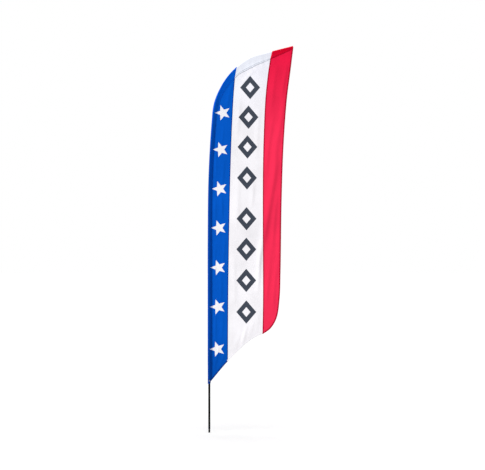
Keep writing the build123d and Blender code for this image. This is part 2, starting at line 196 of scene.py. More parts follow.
def run_starts():
    """Start of each run: distance, x, z and angle from upright."""
    starts = []
    distance, x, z, angle = 0.0, 0.0, 0.0, 0.0
    for length, turn in pole_runs:
        starts.append((distance, x, z, angle))
        x, z, angle = moved_along(x, z, angle, length, turn)
        distance += length
    return starts


starts_of_runs = run_starts()


def station(distance, offset=0.0):
    """Place (x, z) at a distance up the pole, moved sideways towards the fly."""
    index = max(i for i, start in enumerate(starts_of_runs) if start[0] <= distance or i == 0)
    length, turn = pole_runs[index]
    start, x, z, angle = starts_of_runs[index]
    step = distance - start
    x, z, angle = moved_along(x, z, angle, step, turn * step / length)
    return x + offset * math.cos(angle), z - offset * math.sin(angle)


def pole_coordinates(x, z):
    """Distance up the pole and sideways offset from it, for arrays of places."""
    best = np.full(x.shape, math.inf)
    distance = np.zeros(x.shape)
    offset = np.zeros(x.shape)
    last = len(pole_runs) - 1
    for index, (length, turn) in enumerate(pole_runs):
        start, x0, z0, angle = starts_of_runs[index]
        if turn == 0.0:
            along = (x - x0) * math.sin(angle) + (z - z0) * math.cos(angle)
            aside = (x - x0) * math.cos(angle) - (z - z0) * math.sin(angle)
        else:
            radius = length / turn
            from_x = x - (x0 + radius * math.cos(angle))
            from_z = z - (z0 - radius * math.sin(angle))
            along = (np.arctan2(from_z, -from_x) - angle) * radius
            aside = radius - np.hypot(from_x, from_z)
        low = -math.inf if index == 0 else 0.0
        high = math.inf if index == last else length
        outside = along - np.clip(along, low, high)
        away = np.hypot(aside, outside)
        nearer = away < best
        best[nearer] = away[nearer]
        distance[nearer] = start + np.clip(along, low, high)[nearer]
        offset[nearer] = aside[nearer]
    return distance, offset


# ---- Flag cloth ------------------------------------------------------
# One piece of thin knitted polyester, cut to the feather's outline and dyed right through: a blue
# band with white stars, a white band with slate lozenge frames, and a red band at the fly. The
# mesh has its edges along every edge of the print, and hangs in the folds of a taut flag.
cloth_thickness = 0.0004
flag_foot = (0.015, 0.533)
sleeve_radius = 0.015
pocket_radius = 0.008
straight_past_ferrule = 0.160
taper_length = 0.160
taper_start = ferrule_top + straight_past_ferrule
taper_end = taper_start + taper_length
flag_end = station(pocket_end, pocket_radius)
fly_shares = [(0.966, 0.931), (0.924, 0.848), (0.883, 0.705), (0.861, 0.545),
              (0.848, 0.334), (0.836, 0.247), (0.799, 0.189), (0.725, 0.158)]
corner_shares = (0.637, 0.142)
lower_shares = [(0.573, 0.136), (0.453, 0.1165), (0.221, 0.0605)]
points_per_span = 60
edge_step = 0.010


def edge_place(shares):
    """Place of a point of the free edge from its shares of the reach and of the height."""
    reach, height = shares
    return reach * flag_end[0], flag_foot[1] + height * (flag_end[1] - flag_foot[1])


def blend(first, last, t, start, end):
    """Between two values, by where t lies between start and end."""
    return first * (end - t) / (end - start) + last * (t - start) / (end - start)


def smooth_through(points, spacing):
    """Evenly spaced points of a smooth curve through a few."""
    points = [Vector(point) for point in points]
    ends = [2 * points[0] - points[1]] + points + [2 * points[-1] - points[-2]]
    curve = []
    for row in zip(ends, ends[1:], ends[2:], ends[3:]):
        before, first, last, after = row
        gaps = [math.sqrt((b - a).length) for a, b in zip(row, row[1:])]
        t1, t2, t3 = gaps[0], gaps[0] + gaps[1], sum(gaps)
        for i in range(points_per_span):
            t = t1 + (t2 - t1) * i / points_per_span
            a1 = blend(before, first, t, 0.0, t1)
            a2 = blend(first, last, t, t1, t2)
            a3 = blend(last, after, t, t2, t3)
            b1 = blend(a1, a2, t, 0.0, t2)
            b2 = blend(a2, a3, t, t1, t3)
            curve.append(blend(b1, b2, t, t1, t2))
    curve.append(points[-1])
    curve = np.array([tuple(point) for point in curve])
    return evenly(curve, spacing)


def evenly(curve, spacing):
    """The same line with its points at one even spacing."""
    steps = np.hypot(*np.diff(curve, axis=0).T)
    travelled = np.concatenate([[0.0], np.cumsum(steps)])
    count = max(2, int(round(travelled[-1] / spacing)) + 1)
    wanted = np.linspace(0.0, travelled[-1], count)
    return np.stack([np.interp(wanted, travelled, curve[:, i]) for i in range(2)], axis=1)


def pulled_in(curve, distance):
    """The free edge moved towards the middle of the flag."""
    along = np.gradient(curve, axis=0)
    along /= np.hypot(along[:, 0], along[:, 1])[:, None]
    return curve + distance * np.stack([along[:, 1], -along[:, 0]], axis=1)


def sleeve_width(distance):
    """Width of the sleeve, from its outer fold to the edge that is sewn on the flag."""
    return np.interp(distance,
                     [0.55, 2.20, 3.30, 3.60, 3.85, 3.94, 4.03, 4.12, 4.26, 4.47,
                      pocket_end - 0.015, pocket_end],
                     [0.044, 0.046, 0.052, 0.060, 0.077, 0.094, 0.103, 0.0985, 0.075, 0.038,
                      0.030, 0.0175])


def lap_width(distance):
    """How far the sleeve's two layers lie flat on the flag."""
    return np.interp(distance, [3.60, 3.90, 4.10, 4.26, 4.47, pocket_end],
                     [0.011, 0.020, 0.021, 0.013, 0.010, 0.0008])


def fold_radius(distance):
    """Radius of the sleeve's outer fold, loose at the bottom and slim round the rod."""
    return np.interp(distance, [0.56, 0.75, 1.90, 2.35, taper_start, taper_end],
                     [0.0158, 0.0174, 0.0174, sleeve_radius, sleeve_radius, pocket_radius])


fly_curve = smooth_through(
    [flag_end] + [edge_place(shares) for shares in fly_shares + [corner_shares]], edge_step)
lower_curve = smooth_through(
    [edge_place(shares) for shares in [corner_shares] + lower_shares] + [flag_foot], edge_step)


def smoothstep(value, low, high):
    """Rises smoothly from 0 to 1 between two values."""
    share = np.clip((value - low) / (high - low), 0.0, 1.0)
    return share * share * (3.0 - 2.0 * share)


crease_bend = 0.22
crease_bend_turns = 5.0
crease_bend_shift = 40.0
fly_side_spread = 0.85
pole_side_spread = 1.30
crease_fade = 0.8


def crease(x, z, start, end, width, height):
    """One soft ridge towards the front between two places, steeper on its fly side."""
    run = np.array(end) - np.array(start)
    length = float(np.hypot(*run))
    share = ((x - start[0]) * run[0] + (z - start[1]) * run[1]) / length ** 2
    aside = ((x - start[0]) * run[1] - (z - start[1]) * run[0]) / length
    bends = np.sin(share * crease_bend_turns + crease_bend_shift * start[0])
    aside = aside + crease_bend * width * bends
    fly_side = aside * np.sign(run[1]) > 0.0
    spread = np.where(fly_side, fly_side_spread * width, pole_side_spread * width)
    fade = np.sin(math.pi * np.clip(share, 0.0, 1.0)) ** crease_fade
    return -height * fade * np.exp(-((aside / spread) ** 2))


# start, end, width and height of each ridge
creases = [
    # red band, nearly along the fly edge
    ((0.732, 2.90), (0.500, 1.72), 0.032, 0.0100),
    ((0.732, 3.22), (0.640, 2.50), 0.032, 0.0070),
    ((0.662, 3.34), (0.590, 2.66), 0.022, 0.0040),
    ((0.790, 3.62), (0.722, 2.98), 0.022, 0.0052),
    ((0.712, 2.52), (0.646, 1.86), 0.020, 0.0044),
    ((0.745, 2.36), (0.706, 1.60), 0.018, 0.0036),
    ((0.632, 1.86), (0.592, 1.28), 0.022, 0.0038),
    ((0.705, 1.78), (0.655, 1.22), 0.018, 0.0032),
    ((0.812, 3.86), (0.752, 3.46), 0.018, 0.0040),
    ((0.706, 3.84), (0.640, 3.36), 0.022, 0.0040),
    # white band
    ((0.404, 1.13), (0.330, 0.89), 0.018, 0.0042),
    ((0.330, 1.10), (0.270, 0.84), 0.021, 0.0022),
    ((0.476, 1.22), (0.410, 0.98), 0.021, 0.0024),
    ((0.532, 1.30), (0.480, 1.02), 0.022, 0.0020),
    ((0.548, 2.02), (0.500, 1.44), 0.018, 0.0060),
    ((0.458, 2.66), (0.446, 2.34), 0.020, 0.0035),
    ((0.300, 2.72), (0.286, 2.10), 0.026, 0.0030),
    ((0.520, 3.40), (0.495, 2.86), 0.024, 0.0030),
    ((0.318, 3.52), (0.292, 3.04), 0.022, 0.0028),
    ((0.262, 1.86), (0.258, 1.30), 0.024, 0.0030),
    ((0.480, 3.80), (0.360, 3.66), 0.016, 0.0028),
    # blue band
    ((0.150, 3.20), (0.128, 2.98), 0.012, 0.0025),
    ((0.078, 3.02), (0.066, 2.66), 0.012, 0.0030),
    ((0.150, 2.86), (0.134, 2.52), 0.014, 0.0030),
    ((0.128, 2.50), (0.134, 2.22), 0.013, 0.0042),
    ((0.070, 2.46), (0.062, 2.18), 0.011, 0.0030),
    ((0.160, 2.06), (0.150, 1.72), 0.014, 0.0026),
    ((0.064, 1.98), (0.058, 1.58), 0.012, 0.0028),
    ((0.126, 1.66), (0.120, 1.34), 0.014, 0.0030),
    ((0.070, 1.28), (0.060, 0.92), 0.013, 0.0034),
    ((0.140, 1.24), (0.130, 0.96), 0.014, 0.0028),
    ((0.110, 0.92), (0.040, 0.64), 0.014, 0.0036),
    ((0.178, 0.86), (0.100, 0.66), 0.013, 0.0030),
    ((0.236, 3.62), (0.176, 3.38), 0.016, 0.0036),
    ((0.262, 3.76), (0.222, 3.56), 0.012, 0.0026),
]

# height, length up the flag, waves for each metre towards the fly, and phase
long_billow = (0.0060, 2.9, 0.35, 0.7)
short_billow = (0.0045, 1.27, -0.9, 2.1)
flutter = (0.0012, 0.43, 2.1, 0.3)
flutter_patches = (1.0, 0.31, -0.4, 0.0)
# height, length along the seam, and by how much and how often the length varies
pucker_waves = [(1.0, 0.083, 1.7, 7.3), (0.6, 0.053, 2.3, 5.1)]
pucker_fade = 0.045
billow_reach = 0.20
fold_reach = (0.020, 0.060)


def wave(along, aside, height, length, slope, phase):
    """Waves that run one way and lean to the other."""
    return height * np.sin(2 * math.pi * (along / length + slope * aside) + phase)


def sway(x, z):
    """How far the cloth stands to the back of the flag's plane, for arrays of places."""
    distance, offset = pole_coordinates(x, z)
    free = smoothstep(offset, sleeve_radius, billow_reach)
    billow = wave(z, x, *long_billow) + wave(z, x, *short_billow)
    billow += wave(z, x, *flutter) * wave(x, z, *flutter_patches)
    seam = sleeve_width(distance) - fold_radius(distance)
    past_seam = np.maximum(offset - seam, 0.0)
    near_seam = smoothstep(offset, 0.010, seam) * np.exp(-past_seam / pucker_fade)
    tight = np.interp(distance, [3.2, 3.5, 4.1, 4.2], [0.0006, 0.0013, 0.0013, 0.0007])
    puckers = sum(height * np.sin(2 * math.pi * distance / length + vary * np.sin(distance * often))
                  for height, length, vary, often in pucker_waves)
    folds = sum(crease(x, z, *row) for row in creases)
    at_seam = smoothstep(offset, *fold_reach)
    return free * billow + at_seam * folds + tight * near_seam * puckers


star_radius = 0.083
star_waist = 0.43


def star(centre):
    """Five-pointed star with one point to the pole."""
    corners = []
    for i in range(10):
        reach = star_radius if i % 2 == 0 else star_radius * star_waist
        angle = math.pi + i * math.pi / 5
        corners.append((centre[0] + reach * math.cos(angle), centre[1] + reach * math.sin(angle)))
    return np.array(corners)


def lozenge(centre, share):
    """Corners of an upright lozenge, at a share of the frames' full size."""
    x, z = centre
    width, height = frame_half_width * share, frame_half_height * share
    return np.array([(x - width, z), (x, z + height), (x + width, z), (x, z - height)])


star_places = [(0.086, 0.870), (0.091, 1.310), (0.095, 1.720), (0.101, 2.134), (0.109, 2.542),
               (0.120, 2.951), (0.142, 3.334)]
stars = [star(place) for place in star_places]

frame_half_width = 0.104
frame_half_height = 0.122
frame_hole = 0.42
frame_places = [(0.386, 1.257), (0.385, 1.586), (0.386, 1.911), (0.388, 2.230),
                (0.393, 2.656), (0.398, 2.979), (0.409, 3.289), (0.426, 3.598)]
frame_outsides = [lozenge(place, 1.0) for place in frame_places]
frame_insides = [lozenge(place, frame_hole) for place in frame_places]

blue_side = [(0.193, 0.60), (0.197, 1.40), (0.205, 2.00), (0.221, 2.75), (0.239, 3.25),
             (0.262, 3.63), (0.277, 3.76), (0.293, 3.84)]
red_side = [(0.554, 0.98), (0.5605, 1.40), (0.558, 2.25), (0.560, 2.75), (0.569, 3.13),
            (0.587, 3.50), (0.615, 3.76), (0.633, 3.88), (0.647, 4.00)]
blue_line_width = 0.009
red_line_width = 0.012
mesh_step = 0.009
grid_clearance = 0.55 * mesh_step
edge_inset = 0.0012
seam_start_gap = 0.010
seam_end_gap = 0.012
merge_distance = 1e-6
blue_curve = smooth_through(blue_side, mesh_step)
red_curve = smooth_through(red_side, mesh_step)
blue_line = blue_curve - np.array([blue_line_width, 0.0])
red_line = red_curve + np.array([red_line_width, 0.0])


def inside(points, outline):
    """Which points lie inside a closed outline."""
    x, z = points[:, 0], points[:, 1]
    hits = np.zeros(len(points), dtype=bool)
    for (x0, z0), (x1, z1) in zip(outline, np.roll(outline, -1, axis=0)):
        if z0 == z1:
            continue
        crosses = (z0 > z) != (z1 > z)
        hits ^= crosses & (x < (x1 - x0) * (z - z0) / (z1 - z0) + x0)
    return hits


def clear_of(points, lines, distance):
    """Which points keep a distance from all points of some lines."""
    clear = np.ones(len(points), dtype=bool)
    for line in lines:
        for place in line:
            clear &= np.hypot(points[:, 0] - place[0], points[:, 1] - place[1]) > distance
    return clear


def closed_line(corners, spacing):
    """A closed outline with extra points on its sides."""
    pieces = []
    for first, last in zip(corners, np.roll(corners, -1, axis=0)):
        count = max(1, int(round(np.hypot(*(last - first)) / spacing)))
        pieces.append(first + (last - first) * np.arange(count)[:, None] / count)
    return np.concatenate(pieces)


seam_distances = np.arange(flag_foot[1] + seam_start_gap, pocket_end - seam_end_gap, mesh_step)
seam_curve = np.array([
    station(distance, float(sleeve_width(distance) - lap_width(distance) - fold_radius(distance)))
    for distance in seam_distances])
free_curve = np.concatenate([pulled_in(fly_curve, edge_inset)[1:-1],
                             pulled_in(lower_curve, edge_inset)[:-1]])
outline = np.concatenate([seam_curve, free_curve[:-2]])

loops = [outline] + [closed_line(shape, mesh_step)
                     for shape in stars + frame_outsides + frame_insides]
bands = [blue_curve, blue_line, red_curve, red_line]
low, high = outline.min(axis=0), outline.max(axis=0)
columns = np.arange(low[0], high[0], mesh_step)
rows = np.arange(low[1], high[1], mesh_step * math.sqrt(3) / 2)
grid = np.array([(x + (mesh_step / 2 if i % 2 else 0.0), z)
                 for i, z in enumerate(rows) for x in columns])
grid = grid[inside(grid, outline)]
grid = grid[clear_of(grid, loops + bands, grid_clearance)]

corners, links = [], []
for line, closed in [(loop, True) for loop in loops] + [(band, False) for band in bands]:
    first = len(corners)
    corners.extend(map(tuple, line))
    links.extend((first + i, first + i + 1) for i in range(len(line) - 1))
    if closed:
        links.append((first + len(line) - 1, first))
corners.extend(map(tuple, grid))
cut = geometry.delaunay_2d_cdt([Vector(corner) for corner in corners], links, [], 0,
                               merge_distance)
cut_places = np.array([tuple(place) for place in cut[0]])
cut_faces = np.array([face for face in cut[2] if len(face) == 3])
middles = cut_places[cut_faces].mean(axis=1)
keep = inside(middles, outline)
cut_faces, middles = cut_faces[keep], middles[keep]


def border(curve, z):
    """Where a band of the print ends at some height."""
    return np.interp(z, curve[:, 1], curve[:, 0])


blue, white, red, slate, blue_dark, red_dark = range(6)
blue_limit = border(blue_curve, middles[:, 1])
red_limit = border(red_curve, middles[:, 1])
print_of_face = np.full(len(cut_faces), white)
print_of_face[middles[:, 0] < blue_limit] = blue_dark
print_of_face[middles[:, 0] < blue_limit - blue_line_width] = blue
print_of_face[middles[:, 0] > red_limit] = red_dark
print_of_face[middles[:, 0] > red_limit + red_line_width] = red
for shape in stars:
    print_of_face[inside(middles, shape)] = white
for outer, inner in zip(frame_outsides, frame_insides):
    print_of_face[inside(middles, outer) & ~inside(middles, inner)] = slate


def srgb(red_level, green_level, blue_level):
    """Shader colour from a screen colour in levels of 255."""
    levels = [level / 255 for level in (red_level, green_level, blue_level)]
    return [v / 12.92 if v <= 0.04045 else ((v + 0.055) / 1.055) ** 2.4 for v in levels] + [1.0]


def tinted(colour, share):
    """A colour moved towards white."""
    return [level * (1.0 - share) + share for level in colour[:3]] + [1.0]


def scaled(colour, shares):
    """A colour with its red, green and blue levels multiplied."""
    return [level * share for level, share in zip(colour, shares)] + [1.0]


def texture(material, kind, sockets, **settings):
    """Texture that follows the piece's own coordinates."""
    places = add_node(material, "TexCoord")
    pattern = add_node(material, "Tex" + kind, sockets, **settings)
    join(material, (places, "Object", pattern, "Vector"))
    return pattern


def product(material, share, first, second):
    """One node's colour multiplied by a share of another's."""
    mix = add_node(material, "MixRGB", {"Fac": share}, blend_type="MULTIPLY")
    join(material, (*first, mix, "Color1"), (*second, mix, "Color2"))
    return mix, "Color"


def raise_surface(material, source, output, strength, distance):
    """Bumps in a material's surface that follow a node."""
    bump = add_node(material, "Bump", {"Strength": strength, "Distance": distance})
    join(material, (source, output, bump, "Height"),
         (bump, "Normal", shader_of(material), "Normal"))


def knit_material(name, colour, low_share=0.86, high_shares=(1.0, 1.0, 1.0)):
    """Thin knitted polyester: fine ribs across fine courses, a soft sheen of its own colour, and
    tones that change with the height, darker towards the bottom and with shares of their own at the
    top. Where the piece marks it, the cloth is darker over the pole: partly the pole showing
    through, partly painted shade."""
    sheen_colour = tinted(colour, 0.05)
    material = new_material(name, {
        "Roughness": 0.85, "Specular IOR Level": 0.12, "Specular Tint": sheen_colour,
        "Sheen Weight": 0.06, "Sheen Roughness": 0.5, "Sheen Tint": sheen_colour})
    ribs = texture(material, "Wave", {"Scale": 420.0, "Distortion": 0.6, "Detail": 1.0},
                   bands_direction="X")
    courses = texture(material, "Wave", {"Scale": 560.0, "Distortion": 0.6}, bands_direction="Z")
    weave = add_node(material, "Math", operation="MULTIPLY")
    places = add_node(material, "TexCoord")
    height = add_node(material, "SeparateXYZ")
    climb = add_node(material, "MapRange", {"From Min": 0.5, "From Max": 4.1})
    tones = add_node(material, "ValToRGB")
    ramp = tones.color_ramp
    ramp.elements[0].position, ramp.elements[1].position = 0.03, 0.17
    ramp.elements[0].color = scaled(colour, [low_share] * 3)
    ramp.elements[1].color = colour
    ramp.elements.new(0.72).color = colour
    ramp.elements.new(0.95).color = scaled(colour, high_shares)
    patches = texture(material, "Noise", {"Scale": 3.5, "Detail": 5.0, "Roughness": 0.55})
    dye = add_node(material, "MapRange", {
        "From Min": 0.30, "From Max": 0.70, "To Min": 0.93, "To Max": 1.04})
    # Painted shade over the pole, partly the black pole showing through: darker where the piece
    # marks it.
    pole_shade_marks = add_node(material, "Attribute", attribute_name="pole_backing_and_shade")
    shade = add_node(material, "MapRange", {"To Min": 1.0, "To Max": 0.66})
    join(material,
         (ribs, "Fac", weave, 0),
         (courses, "Fac", weave, 1),
         (places, "Object", height, "Vector"),
         (height, "Z", climb, "Value"),
         (climb, "Result", tones, "Fac"),
         (patches, "Fac", dye, "Value"),
         (pole_shade_marks, "Fac", shade, "Value"))
    height_toned = product(material, 1.0, (tones, "Color"), (dye, "Result"))
    pole_shaded = product(material, 1.0, height_toned, (shade, "Result"))
    woven = product(material, 0.10, pole_shaded, (weave, "Value"))
    join(material, (*woven, shader_of(material), "Base Color"))
    raise_surface(material, weave, "Value", 0.6, 0.0002)
    return material


# shares of red, green and blue that the top of the red band keeps
deep_red = (0.92, 0.38, 0.66)
blue_cloth = knit_material("blue_cloth", srgb(4, 82, 184), 0.78)
white_cloth = knit_material("white_cloth", srgb(231, 229, 233), 0.93, (0.93, 0.95, 1.0))
red_cloth = knit_material("red_cloth", srgb(229, 44, 79), 0.97, deep_red)
slate_cloth = knit_material("slate_cloth", srgb(62, 68, 79))
# The darker blue and red print the lines along the bands' borders, and the blue makes the cuff; on
# the hems they are painted shade along the edge.
dark_blue_cloth = knit_material("dark_blue_cloth", srgb(2, 52, 130))
dark_red_cloth = knit_material("dark_red_cloth", srgb(168, 8, 44), 0.95, (0.9, 0.6, 0.8))


def add_mesh(name, places, faces, materials, material_of_face=None):
    """New object from plain lists, at the origin."""
    mesh = bpy.data.meshes.new(name)
    mesh.from_pydata([tuple(map(float, place)) for place in places], [],
                     [tuple(map(int, face)) for face in faces])
    for material in materials:
        mesh.materials.append(material)
    if material_of_face is not None:
        mesh.polygons.foreach_set("material_index", np.asarray(material_of_face, dtype=np.int32))
    mesh.polygons.foreach_set("use_smooth", np.full(len(mesh.polygons), True))
    mesh.update()
    piece = bpy.data.objects.new(name, mesh)
    bpy.context.collection.objects.link(piece)
    return piece


def thicken(piece, thickness, side):
    """Gives a sheet its thickness, to the inside (-1), the outside (1) or both ways (0)."""
    solidify = piece.modifiers.new("thickness", "SOLIDIFY")
    solidify.thickness = thickness
    solidify.offset = side
    bpy.context.view_layer.objects.active = piece
    bpy.ops.object.modifier_apply(modifier=solidify.name)


def in_space(places, depth):
    """Places (x, z) on the flag's plane, moved to the back by their depths."""
    return np.stack([places[:, 0], depth, places[:, 1]], axis=1)


flag_places = in_space(cut_places, sway(cut_places[:, 0], cut_places[:, 1]))
used = np.unique(cut_faces)
new_index = np.zeros(len(flag_places), dtype=int)
new_index[used] = np.arange(len(used))
flag_cloth = add_mesh("flag_cloth", flag_places[used], new_index[cut_faces],
                      [blue_cloth, white_cloth, red_cloth, slate_cloth, dark_blue_cloth,
                       dark_red_cloth],
                      print_of_face)
thicken(flag_cloth, cloth_thickness, 0.0)
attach(flag_cloth, "upper_pole")
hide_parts("flag_panel")


# ---- Sleeve ----------------------------------------------------------
# A band of the same cloth, folded lengthwise round the pole. Its two edges lap over the flag's
# edge from both sides and are stitched down, so it is round at the pole and flat at the seam. The
# stars' tips reach onto it. Its blue is a little darker than the flag's, partly for its two layers
# and partly as painted shade of its round, and lighter towards the crook, as painted light against
# the shade there. Over the pole it is darker still: partly the black pole showing through, partly
# painted shade. The two sewn strips of the lap have a darker cloth, a painted shadow of the seam.
fold_points = 10
flank_points = 8
lap_points = 3
flank_sag = 1.15
least_reach = 1.02
seam_height = 0.0009
ripple_share = 0.035
long_ripple, short_ripple = 23.0, 61.0
cuff_top = 0.556
sleeve_thickness = 0.0005


def round_fold(radius, reach, steps):
    """Half of a fold round the pole, up to where it leaves it towards a place further out."""
    last_angle = math.pi - math.acos(radius / reach)
    angles = [last_angle * i / steps for i in range(steps + 1)]
    return [(-radius * math.cos(angle), radius * math.sin(angle)) for angle in angles]


def sleeve_section(distance, squeeze=1.0, proud=0.0):
    """Half section of the sleeve from the fold: offsets from the pole's middle, and heights."""
    radius = float(fold_radius(distance)) + proud
    edge = float(sleeve_width(distance)) + proud
    lap = float(lap_width(distance))
    reach = max(edge - lap - radius, least_reach * radius)
    flat_height = seam_height + proud
    section = round_fold(radius, reach, fold_points)
    from_offset, from_height = section[-1]
    for i in range(1, flank_points + 1):
        share = i / flank_points
        height = from_height * (1 - share) ** flank_sag
        section.append((from_offset + (reach - from_offset) * share, max(height, flat_height)))
    section += [(reach + lap * i / lap_points, flat_height) for i in range(1, lap_points + 1)]
    return [(offset, height * squeeze if offset < 0.0 else max(height * squeeze, flat_height))
            for offset, height in section]


def sleeve_places(distances, slants, squeezes=None, proud=0.0):
    """Rows of places round the sleeve, from the front seam over the fold to the back seam. A row's
    slant is how far it falls behind for each metre towards the fly."""
    rows_of_places = []
    for index, distance in enumerate(distances):
        squeeze = 1.0 if squeezes is None else squeezes[index]
        half = []
        for column, (offset, height) in enumerate(sleeve_section(distance, squeeze, proud)):
            if slants[index] > 0.0:
                reached = distance - slants[index] * (offset + pocket_radius)
                offset, height = sleeve_section(reached, squeeze, proud)[column]
            half.append((distance - slants[index] * (offset + pocket_radius), offset, height))
        row = []
        for side, part in ((-1, reversed(half)), (1, half[1:])):
            for reached, offset, height in part:
                x, z = station(reached, offset)
                ripple = ripple_share * math.sin(distance * short_ripple + 2.0 * side)
                ripple *= math.sin(distance * long_ripple + 40 * offset)
                row.append((x, side * height * (1.0 + ripple), z))
        rows_of_places.append(row)
    places = np.array(rows_of_places)
    places[..., 1] += sway(places[..., 0], places[..., 2])
    return places


def lofted_faces(row_count, column_count):
    """Quads between rows of places that face away from the pole."""
    faces = []
    for i in range(row_count - 1):
        for j in range(column_count - 1):
            a, b = i * column_count + j, i * column_count + j + 1
            faces.append((a, a + column_count, b + column_count, b))
    return faces


def add_loft(name, rows_of_places, materials):
    """New object from rows of places."""
    faces = lofted_faces(*rows_of_places.shape[:2])
    return add_mesh(name, rows_of_places.reshape(-1, 3), faces, materials)


def split_along(piece, point, direction, reach):
    """Adds edges along a line of the print where the piece crosses it, near a point."""
    bpy.ops.object.select_all(action="DESELECT")
    piece.select_set(True)
    bpy.context.view_layer.objects.active = piece
    bpy.ops.object.mode_set(mode="EDIT")
    bpy.ops.mesh.select_mode(type="FACE")
    bpy.ops.mesh.select_all(action="DESELECT")
    bpy.ops.object.mode_set(mode="OBJECT")
    for polygon in piece.data.polygons:
        middle = polygon.center
        polygon.select = math.hypot(middle.x - point[0], middle.z - point[1]) < reach
    bpy.ops.object.mode_set(mode="EDIT")
    bpy.ops.mesh.bisect(plane_co=(point[0], 0.0, point[1]),
                        plane_no=(direction[1], 0.0, -direction[0]))
    bpy.ops.object.mode_set(mode="OBJECT")
    piece.select_set(False)


# shares of the lap's width, offsets from the pole, and distances up it
first_strip_end, last_strip_start = 0.33, 0.67
# where the painted shade over the pole fades: offsets across it and distances up it
pole_shade_edges = (-0.019, 0.002)
pole_shade_fade = (2.7, 3.5)


def seam_shadow_strips(piece, strips_of_plain):
    """Gives the two sewn strips of the lap, where four layers lie together, a darker cloth: painted
    shadow of the seam.
    """
    middles = np.array([tuple(polygon.center) for polygon in piece.data.polygons])
    distance, offset = pole_coordinates(middles[:, 0], middles[:, 2])
    edge = sleeve_width(distance) - fold_radius(distance)
    share = (offset - edge) / lap_width(distance) + 1.0
    for polygon, place in zip(piece.data.polygons, share):
        first_strip, last_strip = strips_of_plain[polygon.material_index]
        if 0.0 < place < first_strip_end:
            polygon.material_index = first_strip
        elif place > last_strip_start:
            polygon.material_index = last_strip


def shade_over_pole(piece):
    """Marks where the cloth lies on the pole, for the darker tone of its material: partly the black
    pole showing through, partly painted shade. Full over the fold's outer half, fading towards the
    fly and out up the pole.
    """
    places = np.array([tuple(vertex.co) for vertex in piece.data.vertices])
    distance, offset = pole_coordinates(places[:, 0], places[:, 2])
    marks = smoothstep(-offset, *pole_shade_edges) * (1.0 - smoothstep(distance, *pole_shade_fade))
    pole_shade_marks = piece.data.attributes.new("pole_backing_and_shade", "FLOAT", "POINT")
    pole_shade_marks.data.foreach_set("value", marks.astype(np.float32))


def slants_from(steps):
    """Slants of rows, full at the slanting seam of the pocket and none some rows away."""
    return [pocket_slant * max(0.0, 1.0 - step / slant_rows) for step in steps]


pocket_length = 0.222
pocket_start = pocket_end - pocket_length
pocket_slant = 0.56
slant_rows = 9
pocket_lap = 0.003
cuff_lap = 0.004
sleeve_step = 0.010
crook_start = 3.60
blue_end_reach = 0.5
star_tip_reach = 0.05
# Painted shade and light: the sleeve's blue is a slightly darker copy of the flag's blue, made
# lighter towards the crook.
sleeve_blue_shade_and_light = knit_material("sleeve_blue_shade_and_light", srgb(2, 76, 180), 0.80, (1.0, 1.22, 1.18))
sleeve_white = knit_material("sleeve_white", srgb(226, 229, 239))
# Darker blue and grey for the lap's sewn strips: painted shadow of the seam, the blue made lighter
# towards the crook.
blue_seam_shadow = knit_material("blue_seam_shadow", srgb(2, 46, 124), 0.82, (1.0, 2.0, 1.8))
white_seam_shadow = knit_material("white_seam_shadow", srgb(184, 188, 200))
sleeve_distances = np.arange(pocket_start + pocket_lap, cuff_top - cuff_lap, -sleeve_step)[::-1]
sleeve_slants = slants_from(reversed(range(len(sleeve_distances))))
sleeve_rows = sleeve_places(sleeve_distances, sleeve_slants)
sleeve_cloth = add_loft("sleeve_cloth", sleeve_rows,
                        [sleeve_blue_shade_and_light, sleeve_white, blue_seam_shadow, white_seam_shadow])
blue_heading = np.array(blue_side[-1]) - np.array(blue_side[-2])
split_along(sleeve_cloth, blue_side[-1], blue_heading, blue_end_reach)
for shape in stars:
    for side in (shape[1], shape[-1]):
        split_along(sleeve_cloth, shape[0], side - shape[0], star_tip_reach)
for polygon in sleeve_cloth.data.polygons:
    x, z = polygon.center.x, polygon.center.z
    blue_end = blue_side[-1][0] + (z - blue_side[-1][1]) * blue_heading[0] / blue_heading[1]
    polygon.material_index = 0 if z < crook_start or x < blue_end else 1
seam_shadow_strips(sleeve_cloth, {0: (2, 0), 1: (3, 3)})
sleeve_middles = np.array([(polygon.center.x, polygon.center.z)
                           for polygon in sleeve_cloth.data.polygons])
for shape in stars:
    for index in np.flatnonzero(inside(sleeve_middles, shape)):
        sleeve_cloth.data.polygons[index].material_index = 1
shade_over_pole(sleeve_cloth)
thicken(sleeve_cloth, sleeve_thickness, -1.0)
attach(sleeve_cloth, "upper_pole")
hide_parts("pole_sleeve")


# ---- Tip pocket ------------------------------------------------------
# The sleeve's last stretch is a stronger, darker red cloth. It is sewn shut at its end and takes
# the push of the rod's capped end, which keeps the whole flag taut.
pocket_proud = 0.0008
pocket_thickness = 0.0007
pocket_step = 0.009
pocket_closing = [(0.0100, 1.0), (0.0064, 0.97), (0.0044, 0.88), (0.0028, 0.68), (0.0014, 0.40),
                  (0.0004, 0.12)]
pocket_distances = list(np.arange(pocket_start, pocket_end - seam_end_gap, pocket_step))
pocket_slants = slants_from(range(len(pocket_distances)))
pocket_squeezes = [1.0] * len(pocket_distances)
for before_end, squeeze in pocket_closing:
    pocket_distances.append(pocket_end - before_end)
    pocket_squeezes.append(squeeze)
    pocket_slants.append(0.0)
pocket_rows = sleeve_places(pocket_distances, pocket_slants, pocket_squeezes, pocket_proud)
pocket_red = knit_material("pocket_red", srgb(206, 7, 42))
# Darker red for the pocket's sewn strips: painted shadow of the seam.
red_seam_shadow = knit_material("red_seam_shadow", srgb(150, 2, 32))
pocket_cloth = add_loft("pocket_cloth", pocket_rows, [pocket_red, red_seam_shadow])
seam_shadow_strips(pocket_cloth, {0: (1, 1)})
thicken(pocket_cloth, pocket_thickness, -1.0)
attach(pocket_cloth, "upper_pole")
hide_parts("tip_pocket")


